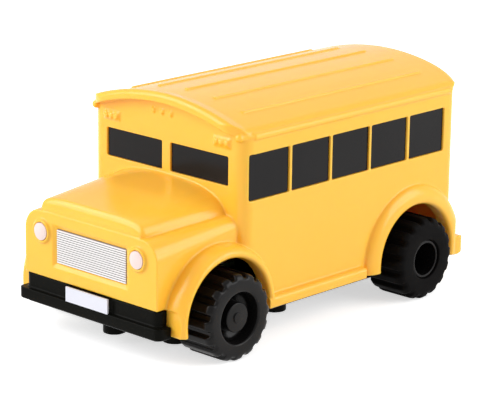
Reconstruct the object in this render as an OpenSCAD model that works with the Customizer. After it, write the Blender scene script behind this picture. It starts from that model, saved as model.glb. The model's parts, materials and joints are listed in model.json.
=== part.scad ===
// Line-following toy bus: a yellow moulded shell on a black chassis.
// Front faces -Y, +X is the bus's left side, +Z is up, and the origin is on the ground
// below the middle of the toy. Millimetres.

/* [Running gear] */
// Radius over the tread bars, which is also the height of the axles
wheel_r = 9.4; // [9:0.1:9.8]
// Distance between the front and rear axles
wheelbase = 60.6; // [59.6:0.2:61.6]
// Distance from the centre plane to the outer face of a wheel
wheel_out = 27.6; // [27.2:0.1:28.4]
// Width of a wheel
wheel_w = 11; // [10:0.1:11.2]
// Number of bars across the tread
tread_bars = 16; // [12:1:20]
// Height of a tread bar
bar_h = 0.9; // [0.5:0.1:1.2]
// Width of a tread bar
bar_w = 1.8; // [1.2:0.1:2.2]
// Diameter of the axles
axle_d = 2; // [1.6:0.1:2.2]
// Radius of the dish in a front wheel
dish_r = 5.6; // [5:0.1:6.6]
// Depth of the dish in a front wheel
dish_h = 4; // [2:0.1:5]
// Radius of a front wheel's boss
boss_r = 3.2; // [2.4:0.1:3.6]
// Radius of a rear hub, which the tyre sits on
hub_r = 4.5; // [4.2:0.1:5]
// Radius of the open bore in a rear hub
hub_bore_r = 3.7; // [3:0.1:3.9]
// Depth of the open bore in a rear hub
hub_bore_h = 6.4; // [4:0.1:7]

/* [Body shell] */
// Thickness of the shell
wall = 1.5; // [1.3:0.1:1.6]
// Width over the side walls
body_w = 46; // [45.4:0.2:46.6]
// Distance from the origin forward to the front panel
nose_y = 47.1; // [46.6:0.1:47.4]
// Distance from the origin forward to the windscreen wall
cab_y = 24.8; // [24.2:0.1:25.4]
// Distance from the origin back to the rear wall
tail_y = 45.2; // [44.8:0.1:45.6]
// Radius of the cabin's upright corners
cab_corner_r = 3; // [2.4:0.1:3.4]
// Height of the lower edge of the sills
sill_z = 8.1; // [7.8:0.1:8.4]
// Height of a sill
sill_h = 2.4; // [1.6:0.1:3]
// Reach of a sill beyond the side wall
sill_out = 1.9; // [1:0.1:2.2]
// Height of the lower edge of the arches and the rear wall
skirt_z = 7.2; // [7:0.1:7.6]
// Gap between the tread and an arch
arch_gap = 2.7; // [2.2:0.1:3]
// Reach of the flares beyond the side walls
flare_out = 1.9; // [1:0.1:2.4]
// Width of a rear flare, from the opening to the side wall
rear_flare_w = 4.2; // [3.4:0.1:4.8]
// Width of a front flare, from the opening to the bonnet side
front_flare_w = 2.6; // [2.2:0.1:3]
// Height of the lower edge of the front panel, above the band
panel_z = 12.8; // [12.6:0.1:13.4]

/* [Roof] */
// Height of the crown of the roof
roof_z = 51.5; // [51:0.1:52.4]
// Height of the eaves
eave_z = 45.7; // [45.2:0.1:46.2]
// Radius of the roof's arch, seen from the front
roof_arch_r = 60; // [54:1:72]
// Radius of the roof's shoulders
roof_shoulder_r = 2.5; // [2.2:0.1:3]
// Radius of the roof's rear edge
roof_edge_r = 2; // [1.2:0.1:2.4]
// Radius of the bead along the eaves
bead_r = 0.8; // [0.6:0.05:1]
// Reach of the lip over the windscreen
lip_out = 2.2; // [1.4:0.1:3]
// Thickness of the lip
lip_t = 1.6; // [1.2:0.1:2]
// Height of the rolled lip above the roof
lip_up = 0.5; // [0.2:0.1:0.7]
// Radius of the lip's corners, seen from above
lip_corner_r = 5.6; // [5:0.1:6.4]
// Pitch of the ribs along the roof
rib_pitch = 8.2; // [7.8:0.05:8.6]
// Length of a roof rib
rib_l = 58; // [50:1:60]
// Width of a roof rib
rib_w = 0.8; // [0.6:0.1:1.2]
// Height of a roof rib
rib_h = 0.35; // [0.2:0.05:0.5]

/* [Bonnet] */
// Half the width of the front panel
panel_hw = 20.1; // [19.8:0.1:20.3]
// Half the width of the front panel's top edge
panel_top_hw = 14.8; // [14.2:0.1:15.2]
// Height of the front panel's top edge
panel_top_z = 27.2; // [26.8:0.1:27.8]
// Height at which the front panel's sides start to curve in
panel_curve_z = 22.6; // [21.6:0.1:23]
// Thickness of the front panel
panel_t = 2; // [1.8:0.1:2.4]
// Half the width of the bonnet at the windscreen
bonnet_hw = 21; // [20.8:0.1:21.4]
// Height of the bonnet's shoulders at the windscreen
bonnet_shoulder_z = 28.7; // [28:0.1:29.4]
// Radius of the bonnet's shoulders at the windscreen
bonnet_shoulder_r = 2.6; // [2:0.1:3]
// Height of the bonnet's crown at the windscreen
crown_z = 34.4; // [33.8:0.1:34.6]
// Half the width of the bonnet's crown at the windscreen
crown_hw = 18.4; // [18:0.1:18.8]
// Height of the bonnet's crown at the nose
nose_crown_z = 30.6; // [30.2:0.1:31.6]
// Depth of the ledge between the front panel and the crown
crease_in = 0.2; // [0.2:0.1:0.8]
// Distance over which the nose rolls up to the crown
nose_roll = 2.8; // [2.6:0.1:4]

/* [Windows and lights] */
// Number of windows on each side
window_n = 5; // [4:1:5]
// Distance from the windscreen wall to the first side window
window_y = 1.8; // [1.7:0.1:2.3]
// Width of a side window
window_w = 12.1; // [11:0.1:12.2]
// Pitch of the side windows
window_pitch = 12.85; // [12.6:0.05:12.9]
// Height of the side windows' lower edge
window_z = 32; // [31.6:0.1:32.4]
// Height of a side window
window_h = 10; // [9:0.1:10.2]
// Width of a windscreen pane
pane_w = 17; // [16:0.1:17.4]
// Height of a windscreen pane
pane_h = 6.4; // [5.8:0.1:6.6]
// Height of the windscreen's lower edge
pane_z = 34.8; // [34.7:0.1:35.2]
// Width of the post between two panes
pane_post = 2.5; // [2:0.1:3]
// Depth of the panes below the outer face of the shell
pane_recess = 0.4; // [0.2:0.05:0.6]
// Thickness of the strip that carries the panes
strip_t = 1; // [0.8:0.1:1.2]
// Clearance round a pane, grille or lens in its opening
pane_fit = 0.1; // [0.05:0.01:0.15]
// Width of the grille
grille_w = 21.2; // [20:0.1:22]
// Height of the grille
grille_h = 7.6; // [7:0.1:8]
// Height of the grille's lower edge
grille_z = 16.4; // [16:0.1:17]
// Number of slats in the grille
grille_slats = 15; // [10:1:18]
// Width of the bevelled frame round the grille
grille_frame = 1; // [0.6:0.1:1.2]
// Depth of the bevelled frame
grille_bevel = 0.6; // [0.3:0.05:0.7]
// Distance of the headlights from the centre plane
headlight_x = 14.6; // [14.4:0.1:15]
// Height of the headlights
headlight_z = 22.8; // [22:0.1:23]
// Radius of a headlight lens
headlight_r = 1.9; // [1.6:0.1:2]
// Reach of a headlight beyond the front panel
headlight_out = 0.95; // [0.8:0.05:1.2]

/* [Bumpers] */
// Distance from the origin forward to the bumper bar
bumper_y = 48.05; // [48:0.05:48.4]
// Height of the bumper bar's lower edge
bumper_z = 6.8; // [6.6:0.1:7]
// Height of the bumper bar
bumper_h = 2.5; // [2.2:0.1:2.8]
// Half the width of the bumper bar
bumper_hw = 21.6; // [21.2:0.1:22]
// Radius of the bumper bar's corners
bumper_r = 1.5; // [1:0.1:2]
// Width of the block that carries the front plate
plate_w = 12.8; // [11:0.1:14]
// Thickness of the front plate
plate_t = 0.4; // [0.3:0.05:0.6]
// Distance from the origin back to the rear bumper
rear_bumper_y = 48.05; // [47.6:0.05:48.4]
// Half the width of the rear bumper
rear_bumper_hw = 24.6; // [24.2:0.1:24.8]
// Height of the rear bumper
rear_bumper_h = 4.2; // [3.4:0.1:4.6]

/* [Chassis] */
// Height of the underside of the floor
floor_z = 6.2; // [6:0.1:6.4]
// Thickness of the floor and the chassis walls
floor_t = 1.4; // [1.3:0.05:1.5]
// Distance of the pan's front end ahead of the origin
pan_front_y = 36.5; // [36.3:0.1:36.9]
// Half the width of the pan under the floor
pan_hw = 14.2; // [14.1:0.05:14.4]
// Height of the underside of the pan
pan_z = 3.6; // [3.4:0.1:3.7]
// Thickness of the pan's bottom
pan_t = 1; // [0.9:0.05:1.1]
// Clearance between the chassis and the shell
shell_fit = 0.3; // [0.2:0.05:0.4]
// Distance of the screw posts from the centre plane
post_x = 13.2; // [13.1:0.05:13.3]
// Distance of the front screw posts ahead of the origin
post_front_y = 35; // [34.9:0.05:35.3]
// Distance of the middle screw posts ahead of the origin
post_mid_y = 4.4; // [3:0.1:5]
// Radius of a screw post
post_r = 2.65; // [2.5:0.05:2.7]
// Height of the foot of a screw post and of the sensor barrel
post_z = 2.2; // [2:0.1:2.6]
// Radius of the shell's screw bosses
shell_boss_r = 2.4; // [2.2:0.05:2.4]
// Diameter of the shell screws' threads
screw_d = 2.2; // [2:0.1:2.4]
// Diameter of the shell screws' heads
screw_head_d = 3.8; // [3.4:0.1:4]
// Length of a shell screw, under its head
screw_l = 8; // [7:0.5:10]
// Running clearance of the axles and pins, on the radius
run_fit = 0.05; // [0.03:0.01:0.08]

/* [Gears] */
// Module of the gears
gear_m = 0.4; // [0.38:0.01:0.41]
// Teeth on a motor pinion and on the small wheel of an idler
pinion_teeth = 9; // [9:1:10]
// Teeth on the large wheel of an idler
idler_teeth = 40; // [36:1:40]
// Teeth on a drive gear
drive_teeth = 21; // [19:1:21]
// Slack between meshed teeth at the pitch circle
backlash = 0.12; // [0.08:0.01:0.16]
// Profile shift of the small wheels, in modules
gear_shift = 0.4; // [0.3:0.05:0.45]
// Addendum, in modules
gear_addendum = 0.9; // [0.8:0.05:1]
// Direction from the rear axle to an idler, up from +Y
idler_angle = 141; // [138:1:142]
// Direction from an idler to its motor, up from +Y
motor_angle = 170; // [168:1:172]
// Thickness of an idler's large wheel
idler_t = 1.8; // [1.4:0.1:2]
// Thickness of a drive gear
drive_t = 2.4; // [2:0.1:2.6]
// Diameter of the idler pins
pin_d = 1.2; // [1:0.1:1.4]

/* [Motors and electrics] */
// Diameter of a motor over its round sides
motor_d = 12; // [11.6:0.1:12.2]
// Width of a motor over its flat sides
motor_flat = 10; // [9:0.1:10.2]
// Length of a motor
motor_l = 8; // [7.6:0.1:8]
// Diameter of a motor shaft
motor_shaft_d = 1; // [0.8:0.1:1.2]
// Diameter of a button cell
cell_d = 11.6; // [11.4:0.1:11.8]
// Thickness of a button cell
cell_h = 5.4; // [5.2:0.05:5.4]
// Thickness of the battery contacts
contact_t = 0.3; // [0.2:0.05:0.4]
// Length of the circuit board
board_l = 29; // [28:0.5:29.5]
// Width of the circuit board
board_w = 20.6; // [19:0.1:20.6]
// Height of the circuit board
board_z = 13.6; // [13:0.1:15]
// Thickness of the circuit board
board_t = 1.2; // [1:0.1:1.6]
// Distance of the sensor barrel ahead of the origin
sensor_y = 39.9; // [39.4:0.1:40.2]
// Radius of the sensor barrel
sensor_r = 2.5; // [2.4:0.05:2.8]
// Diameter of the infrared emitter and receiver
sensor_d = 1.8; // [1.6:0.05:1.8]
// Travel of the power switch
switch_travel = 2; // [1.6:0.1:2.2]
// Distance of the power switch ahead of the origin
switch_y = 20; // [19.5:0.1:20.5]

/* [Hidden] */

$fn = 48;
eps = 0.01;
far = 200;

// Points in a round stretch of an outline
arc_n = 16;

yellow = [1.0, 0.78, 0.28];
black = [0.17, 0.16, 0.16];
rubber = [0.13, 0.13, 0.13];
white = [0.93, 0.93, 0.96];
silver = [0.80, 0.80, 0.82];
steel = [0.70, 0.70, 0.72];
brass = [0.80, 0.66, 0.35];
nylon = [0.90, 0.89, 0.84];
green = [0.10, 0.42, 0.25];

// Places along the bus
front_y = -wheelbase / 2;
rear_y = wheelbase / 2;
axle_z = wheel_r;
half_w = body_w / 2;
inner_hw = half_w - wall;
arch_r = wheel_r + arch_gap;
flare_x = half_w + flare_out;
wheel_in = wheel_out - wheel_w;
axle_r = axle_d / 2;
floor_top = floor_z + floor_t;
pan_top = pan_z + pan_t;

// Roof
roof_c = roof_z - roof_arch_r;
function roof_height(x) = roof_c + sqrt(roof_arch_r * roof_arch_r - x * x);

// Windscreen and windows
pane_x = pane_post / 2;
windows_y0 = -cab_y + window_y;
windows_l = (window_n - 1) * window_pitch + window_w;
strip_lap = 0.8;
window_corner_r = 0.35;

// Front panel: the radius of its upper corners comes from where they start and end
panel_corner_h = panel_top_z - panel_curve_z;
panel_corner_w = panel_hw - panel_top_hw;
panel_corner_r = (panel_corner_h * panel_corner_h + panel_corner_w * panel_corner_w) / (2 * panel_corner_w);
panel_corner_a = asin(panel_corner_h / panel_corner_r);

// The band and the bumper stop where the front arches start, and the floor fits between the bonnet's sides
nose_hw = panel_hw - wall - shell_fit;
band_end = nose_y - 2.9;
band_fit = 0.2;
band_y = nose_y - 0.2;
band_hw = panel_hw + 0.2;
bumper_top = bumper_z + bumper_h;
plate_gap = 0.3;

// Bearings stand out from the pan towards the wheels
bearing_x = wheel_in - 0.7;
bearing_r = axle_r + 0.9;
bearing_post = 2;

// Gear train, from the wheel inwards
idler_y = rear_y + gear_m * (pinion_teeth + drive_teeth) / 2 * cos(idler_angle);
idler_z = axle_z + gear_m * (pinion_teeth + drive_teeth) / 2 * sin(idler_angle);
motor_y = idler_y + gear_m * (pinion_teeth + idler_teeth) / 2 * cos(motor_angle);
motor_z = idler_z + gear_m * (pinion_teeth + idler_teeth) / 2 * sin(motor_angle);
gear_gap = 0.4;
pan_in = pan_hw - floor_t;
drive_x = pan_in - 0.4 - drive_t;
axle_post_t = 1.2;
axle_post_x = drive_x - 0.8 - axle_post_t;
idler_x = axle_post_x - 0.5 - 0.8 - idler_t;
rib_t = 1.2;
pin_rib_x = idler_x - 0.7 - rib_t;
motor_x = axle_post_x - 0.4;
pin_r = pin_d / 2;
pin_seat = 0.8;
shaft_r = motor_shaft_d / 2;
gearbox_y0 = idler_y - 3.4;
gearbox_y1 = rear_y + gear_m * (drive_teeth / 2 + gear_addendum - gear_shift) + gear_gap + floor_t;
gearbox_top = idler_z + gear_m * (idler_teeth / 2 + gear_addendum - gear_shift) + 0.6;
cover_t = 1.2;
cover_screw_x = 4;
cover_boss_r = 2.1;
small_screw_d = 1.6;
small_head_d = 3;
small_head_h = 1;
small_screw_l = 5;

// Battery box, with the cells side by side in one stack across the bus
cell_gap = 0.2;
cells_w = 3 * cell_h;
cell_z = pan_top + cell_gap + cell_d / 2;
box_hw = cells_w / 2 + contact_t + cell_gap;
box_hl = cell_d / 2 + cell_gap;
box_t = 1.6;
box_top = cell_z + cell_d / 2 + cell_gap;
cover_fit = 0.2;
cover_lap = 0.6;
cover_hw = box_hw + cover_lap;
cover_y0 = -box_hl - cover_lap;
battery_screw_y = box_hl + box_t + 1.2;
battery_boss_r = 2.1;
battery_boss_h = 6;
cover_y1 = battery_screw_y + battery_boss_r + 0.3;

// Board, sensor and switch
board_y0 = -sensor_y - 3.1;
standoff_x = board_w / 2 - 2.3;
standoff_r = 1.8;
standoff_inset = 1.9;
sensor_pitch = sensor_d + 0.16;
sensor_bore_r = sensor_pitch / 2 + sensor_d / 2 + 0.1;
sensor_top = 9;
sensor_z = post_z + 1;
sensor_h = 3.4;
lead_d = 0.45;
switch_l = 8.6;
switch_w = 3.6;
switch_h = 3.5;
knob_w = 1.5;
knob_l = 1.6;
knob_z = pan_z - 0.7;
knob_fit = 0.2;
knob_slot_l = knob_l + switch_travel + 2 * knob_fit;
knob_in = 1.4;

// Shapes

function arc(c, r, a0, a1, n = arc_n) =
    [for (i = [0:n]) let (a = a0 + (a1 - a0) * i / n) [c[0] + r * cos(a), c[1] + r * sin(a)]];

function mirrored(pts) = concat(pts, [for (i = [len(pts) - 1:-1:0]) [-pts[i][0], pts[i][1]]]);

// Both sides of the bus
module both_sides() {
    children();
    mirror([1, 0, 0]) children();
}

// One side of the bus: 1 for the left, -1 for the right
module on_side(side) {
    mirror([side > 0 ? 0 : 1, 0, 0]) children();
}

// A section drawn across the bus, with x across and y up, run from y0 back to y1
module along(y0, y1) {
    translate([0, y1, 0]) rotate([90, 0, 0]) linear_extrude(y1 - y0) children();
}

// A shape drawn in side view, with x back and y up, run across from x0 to x1
module across(x0, x1) {
    translate([x0, 0, 0]) rotate([90, 0, 90]) linear_extrude(x1 - x0) children();
}

// A rod along X
module rod(r, x0, x1, y, z) {
    translate([x0, y, z]) rotate([0, 90, 0]) cylinder(r = r, h = x1 - x0);
}

// A rectangle in plan with two or four round corners
module round_plan(hw, y0, y1, r, front = true, back = true) {
    difference() {
        translate([-hw, y0]) square([2 * hw, y1 - y0]);
        for (side = [-1, 1], end = [-1, 1])
            if (end < 0 ? front : back)
                translate([side * hw, end < 0 ? y0 : y1])
                    difference() {
                        square(2 * r, center = true);
                        translate([-side * r, -end * r]) circle(r);
                    }
    }
}

// Plan of the cabin with its four round corners
module cabin_plan(hw, y0, y1, r) {
    polygon(mirrored(concat(arc([hw - r, y0 + r], r, -90, 0), arc([hw - r, y1 - r], r, 0, 90))));
}

// Outline of the cabin, seen from the front, drawn in by the given amount
module cabin_section(inset, z0) {
    hw = half_w - inset;
    r = roof_shoulder_r - inset;
    top_r = roof_arch_r - inset;
    // The shoulder is tangent to the side wall and to the roof's arch
    reach = top_r - r;
    shoulder_c = [hw - r, roof_c + sqrt(reach * reach - (hw - r) * (hw - r))];
    meet = atan2(shoulder_c[1] - roof_c, shoulder_c[0]);
    polygon(mirrored(concat([[hw, z0]], arc(shoulder_c, r, 0, meet), arc([0, roof_c], top_r, meet, 90))));
}

// Outline of the front panel
module panel_section(inset, z0) {
    c = [panel_hw - panel_corner_r, panel_curve_z];
    polygon(mirrored(concat([[panel_hw - inset, z0]], arc(c, panel_corner_r - inset, 0, panel_corner_a))));
}

// Outline of the bonnet's shoulders where they meet the windscreen wall
module shoulder_section(inset, z0) {
    r = bonnet_shoulder_r;
    c = [bonnet_hw - inset - r, bonnet_shoulder_z - inset - r];
    polygon(mirrored(concat([[bonnet_hw - inset, z0]], arc(c, r, 0, 90))));
}

// Outline of the bonnet's crown: a rounded box over a base line, squarer as the power rises
crown_base = 26;
nose_power = 5.2;
crown_power = 2.6;
module crown_section(hw, top, power) {
    h = top - crown_base;
    polygon(concat([[hw, panel_z], [-hw, panel_z]],
        [for (i = [-arc_n:arc_n]) let (u = sin(90 * i / arc_n))
            [u * hw, crown_base + h * pow(1 - pow(abs(u), power), 1 / power)]]));
}

slice = 0.02;
roll_n = 5;
roll_out = 0.8;

// Bonnet, as the hull of its sections from the nose to the windscreen
module bonnet(inset, y0, y1) {
    hull() {
        along(y0, y0 + slice) panel_section(inset, skirt_z);
        along(y1 - slice, y1) shoulder_section(inset, skirt_z);
    }
    // The crown rises steeply from the crease, then rolls back
    crown_hw0 = panel_top_hw - inset;
    top0 = panel_top_z + 0.1 - inset;
    top1 = nose_crown_z - inset;
    hull() {
        for (i = [0:roll_n])
            let (a = 90 * i / roll_n, y = y0 + crease_in + nose_roll * (1 - cos(a)), k = sin(a))
            along(y, y + slice) crown_section(crown_hw0 + roll_out * k, top0 + (top1 - top0) * k, nose_power);
        along(y1 - slice, y1) crown_section(crown_hw - inset, crown_z - inset, crown_power);
    }
}

// Flared ring round an arch; the bulge is a quarter of an ellipse from the lip to the wall
module flare(y, root_x, width) {
    lip_w = 0.9;
    rise = flare_x - root_x;
    ring = concat(
        [[arch_r, root_x - wall], [arch_r, flare_x - lip_w]],
        arc([arch_r + lip_w, flare_x - lip_w], lip_w, 180, 90, 6),
        [for (i = [1:arc_n]) let (a = 90 * i / arc_n)
            [arch_r + lip_w + (width - lip_w) * sin(a), root_x + rise * cos(a)]],
        [[arch_r + width, root_x - wall]]);
    intersection() {
        translate([0, y, axle_z]) rotate([0, 90, 0]) rotate_extrude($fn = 96) polygon(ring);
        translate([0, 0, skirt_z]) linear_extrude(far)
            round_plan(flare_x, -nose_y, tail_y + 0.6, cab_corner_r);
    }
}

// Blank of the shell, before it is hollowed
module shell_outside() {
    // Cabin with round upright corners
    intersection() {
        along(-cab_y, tail_y) cabin_section(0, skirt_z);
        translate([0, 0, skirt_z]) linear_extrude(far) cabin_plan(half_w, -cab_y, tail_y, cab_corner_r);
        roof_edge();
    }
    bonnet(0, -nose_y, -cab_y + wall);
    both_sides() {
        flare(front_y, bonnet_hw, front_flare_w);
        flare(rear_y, half_w, rear_flare_w);
        sill();
        eave_bead();
    }
    roof_lip();
    roof_ribs();
    rear_bumper();
    front_markers();
    both_sides()
        translate([headlight_x, -nose_y + eps, headlight_z]) rotate([90, 0, 0])
            cylinder(r1 = headlight_r + 0.9, r2 = headlight_r + 0.5, h = headlight_out - 0.3);
}

// Space left once the roof's rear edge is rounded: the edge runs round the arch's own axis
module roof_edge() {
    // The round starts a hair below the roof, so that it crosses every facet of the arch
    start = 10;
    edge = arc([roof_arch_r - roof_edge_r, -roof_edge_r], roof_edge_r, start, 90, 6);
    difference() {
        translate([-half_w, -cab_y, skirt_z]) cube([body_w, cab_y + tail_y, roof_z - skirt_z]);
        translate([0, tail_y, roof_c]) rotate([-90, 0, 0]) rotate_extrude($fn = 240)
            polygon(concat(edge, [[roof_arch_r - roof_edge_r, 1], [roof_arch_r + 1, 1], [roof_arch_r + 1, edge[0][1]]]));
    }
}

// Bead along the eaves: it bends in towards the lip and ends there in a ball
module eave_bead() {
    bend = 20;
    bend_l = 3.7;
    bead_y0 = -cab_y - lip_out + lip_corner_r;
    bead_l = tail_y - cab_corner_r - bead_y0;
    translate([half_w - bead_r / 4, bead_y0, eave_z]) {
        translate([0, -bead_r / 2, 0]) rotate([-90, 0, 0]) cylinder(r = bead_r, h = bead_l + bead_r / 2);
        translate([0, bead_l, 0]) sphere(bead_r);
        rotate(-bend) {
            rotate([90, 0, 0]) cylinder(r = bead_r - 0.05, h = bend_l);
            translate([0, -bend_l, 0]) sphere(bead_r + 0.1);
        }
    }
}

// Lip over the windscreen: the roof's own arch rolled over, with round corners in plan
module roof_lip() {
    front = -cab_y - lip_out;
    corner = [half_w - lip_corner_r, front + lip_corner_r];
    lip_n = 4;
    difference() {
        intersection() {
            hull() {
                for (i = [0:lip_n])
                    let (a = 90 * i / lip_n, y = front + lip_out / 2 * (1 - cos(a)))
                    along(y, y + slice) cabin_section(lip_t / 2 - (lip_t / 2 + lip_up) * sin(a), eave_z);
                along(-cab_y, -cab_y + wall) cabin_section(0, eave_z);
            }
            translate([0, 0, eave_z - 1]) linear_extrude(far)
                polygon(mirrored(concat([[half_w, 0]], arc(corner, lip_corner_r, 0, -90))));
        }
        along(front - 1, -cab_y) cabin_section(lip_t, eave_z - 1);
    }
}

// Five ribs along the roof
module roof_ribs() {
    rib_y = (tail_y - cab_y) / 2;
    for (i = [-2:2]) {
        x = i * rib_pitch;
        z = roof_height(abs(x) + rib_w / 2);
        translate([x - rib_w / 2, rib_y - rib_l / 2, z - wall / 2])
            cube([rib_w, rib_l, roof_height(x) - z + wall / 2 + rib_h]);
    }
}

// Rounded sill between the arches
module sill() {
    sill_y0 = front_y + arch_r - 0.4;
    sill_y1 = rear_y - arch_r - rear_flare_w - 1;
    r = 0.9;
    along(sill_y0, sill_y1) {
        translate([half_w - wall, sill_z]) square([wall + sill_out - r, sill_h]);
        translate([half_w - wall, sill_z]) square([wall + sill_out, sill_h - r]);
        translate([half_w + sill_out - r, sill_z + sill_h - r]) circle(r);
    }
}

// Rounded bar across the tail
module rear_bumper() {
    r = rear_bumper_h / 2;
    rear_bumper_z = skirt_z - 0.2;
    intersection() {
        translate([0, 0, rear_bumper_z]) linear_extrude(rear_bumper_h)
            round_plan(rear_bumper_hw, tail_y - wall, rear_bumper_y, 2.4, front = false);
        across(-rear_bumper_hw, rear_bumper_hw) {
            translate([tail_y - wall, rear_bumper_z])
                square([rear_bumper_y - r - tail_y + wall, rear_bumper_h]);
            translate([rear_bumper_y - r, rear_bumper_z + r]) circle(r);
        }
    }
}

// Small moulded lamps on the windscreen wall: three in the middle and a group at each corner
module front_markers() {
    lamp_r = 0.55;
    lamp_h = 0.35;
    group_x = 16.6;
    group_w = 4.8;
    group_h = 1.9;
    group_z = pane_z + pane_h + group_h;
    group_out = 0.3;
    module lamp(x, z, y) {
        translate([x, y, z]) rotate([90, 0, 0]) cylinder(r = lamp_r, h = lamp_h + eps);
    }
    for (i = [-1:1])
        lamp(2.6 * i - 1.2, eave_z + 1.7, -cab_y + eps);
    for (side = [-1, 1]) {
        translate([side * group_x - group_w / 2, -cab_y - group_out, group_z]) cube([group_w, group_out + eps, group_h]);
        for (i = [-1:1])
            lamp(side * group_x + 1.5 * i, group_z + group_h / 2, -cab_y - group_out + eps);
    }
}

// Hollow inside the shell
module shell_inside() {
    intersection() {
        along(-cab_y + wall, tail_y - wall) cabin_section(wall, skirt_z - 1);
        translate([0, 0, skirt_z - 1]) linear_extrude(far)
            cabin_plan(inner_hw, -cab_y + wall, tail_y - wall, cab_corner_r - wall);
    }
    bonnet(wall, -nose_y + panel_t, -cab_y + 2 * wall);
    // The bonnet is open below
    translate([-panel_hw + wall, -nose_y + panel_t, skirt_z - 1])
        cube([2 * (panel_hw - wall), nose_y - panel_t - cab_y + 2 * wall, 1 + panel_curve_z - skirt_z]);
}

// Rectangle with rounded corners, drawn from its lower left corner
module pane_shape(w, h, grow) {
    r = window_corner_r + grow;
    translate([w / 2, -grow]) round_plan(w / 2 + grow, 0, h + 2 * grow, r);
}

// Openings for the side windows, on the left
module side_openings(x0, x1, grow) {
    for (i = [0:window_n - 1])
        across(x0, x1)
            translate([windows_y0 + i * window_pitch, window_z]) pane_shape(window_w, window_h, grow);
}

// Openings in the windscreen wall or the rear wall
module end_openings(y0, y1, grow) {
    for (side = [-1, 1])
        along(y0, y1)
            translate([side > 0 ? pane_x : -pane_x - pane_w, pane_z]) pane_shape(pane_w, pane_h, grow);
}

// Bosses that take the screws from below
module shell_bosses() {
    mid_top = window_z - strip_lap - 1.4;
    web_t = 1.2;
    web_h = 1.6;
    web_z = axle_z + arch_r + 0.4;
    front_top = web_z + web_h + 1.5;
    both_sides() {
        translate([post_x, -post_front_y, floor_top]) cylinder(r = shell_boss_r, h = front_top - floor_top);
        translate([post_x, -post_mid_y, floor_top]) cylinder(r = shell_boss_r, h = mid_top - floor_top);
        // Webs from the bosses to the side walls
        translate([post_x, -post_front_y - web_t / 2, web_z])
            cube([panel_hw - wall + 0.4 - post_x, web_t, web_h]);
        translate([post_x, -post_mid_y - web_t / 2, floor_top + 4])
            cube([half_w - wall / 2 - post_x, web_t, mid_top - floor_top - 4]);
    }
}

module body_shell() {
    pilot_r = screw_d / 2;
    color(yellow) difference() {
        union() {
            difference() {
                shell_outside();
                shell_inside();
            }
            shell_bosses();
        }
        // Wheel arches
        for (y = [front_y, rear_y], side = [-1, 1])
            on_side(side) rod(arch_r, bonnet_hw - wall - 2, far, y, axle_z);
        // The side walls stop at the sills, and the nose stops at the band
        for (side = [-1, 1])
            on_side(side) translate([half_w - 2 * wall, front_y, 0]) cube([far, wheelbase, sill_z]);
        translate([-far / 2, -far, 0]) cube([far, far - band_end, panel_z]);
        // Windows and windscreen
        both_sides() side_openings(inner_hw - 1, far, 0);
        end_openings(-cab_y - 1, -cab_y + wall + 1, 0);
        end_openings(tail_y - wall - 1, tail_y + 1, 0);
        // Grille pocket in a bevelled frame, and the headlight sockets
        translate([-grille_w / 2, -nose_y - 1, grille_z]) cube([grille_w, 1 + grille_depth, grille_h]);
        grille_funnel();
        both_sides()
            translate([headlight_x, -nose_y + headlight_depth, headlight_z]) rotate([90, 0, 0])
                cylinder(r = headlight_r + pane_fit, h = far);
        // Screw pilots
        for (y = [-post_front_y, -post_mid_y], side = [-1, 1])
            translate([side * post_x, y, floor_top - 1]) cylinder(r = pilot_r, h = screw_l);
    }
}

// Bevelled space in front of the grille: a taper seen from above, crossed with one seen from the side
module grille_funnel() {
    hw = grille_w / 2;
    hh = grille_h / 2;
    function taper(h) = [[grille_bevel, h], [0, h + grille_frame], [-eps, h + grille_frame],
        [-eps, -h - grille_frame], [0, -h - grille_frame], [grille_bevel, -h]];
    translate([0, -nose_y, grille_z + hh]) intersection() {
        linear_extrude(far, center = true) rotate(90) polygon(taper(hw));
        across(-far / 2, far / 2) polygon(taper(hh));
    }
}

grille_depth = 1.2;
grille_t = 0.8;
headlight_depth = 0.8;

// Two panes on one strip, set against the inside of the windscreen wall
module windscreen_panes() {
    color(black) {
        end_openings(-cab_y + pane_recess, -cab_y + wall, -pane_fit);
        along(-cab_y + wall, -cab_y + wall + strip_t)
            translate([-pane_x - pane_w - strip_lap, pane_z - strip_lap])
                square([2 * (pane_x + pane_w + strip_lap), pane_h + 2 * strip_lap]);
    }
}

// The same insert in the rear wall
module rear_windows() {
    color(black) {
        end_openings(tail_y - wall, tail_y - pane_recess, -pane_fit);
        along(tail_y - wall - strip_t, tail_y - wall)
            translate([-pane_x - pane_w - strip_lap, pane_z - strip_lap])
                square([2 * (pane_x + pane_w + strip_lap), pane_h + 2 * strip_lap]);
    }
}

// A row of windows on one strip, set against the inside of a side wall
module side_windows(side) {
    strip_y0 = windows_y0 + cab_corner_r - wall;
    color(black) on_side(side) {
        side_openings(inner_hw, half_w - pane_recess, -pane_fit);
        translate([inner_hw - strip_t, strip_y0, window_z - strip_lap])
            cube([strip_t, windows_y0 + windows_l - strip_y0, window_h + 2 * strip_lap]);
    }
}
module left_side_windows() { side_windows(1); }
module right_side_windows() { side_windows(-1); }

// Pale insert with horizontal slats
module grille() {
    w = grille_w - 2 * pane_fit;
    h = grille_h - 2 * pane_fit;
    z0 = grille_z + pane_fit;
    pitch = h / grille_slats;
    back_t = grille_t - 0.3;
    color(silver) translate([-w / 2, -nose_y + grille_depth, z0]) {
        translate([0, -back_t, 0]) cube([w, back_t, h]);
        for (i = [0:grille_slats - 1])
            translate([0, -grille_t, (i + 0.2) * pitch]) cube([w, 0.3 + eps, 0.6 * pitch]);
    }
}

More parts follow.
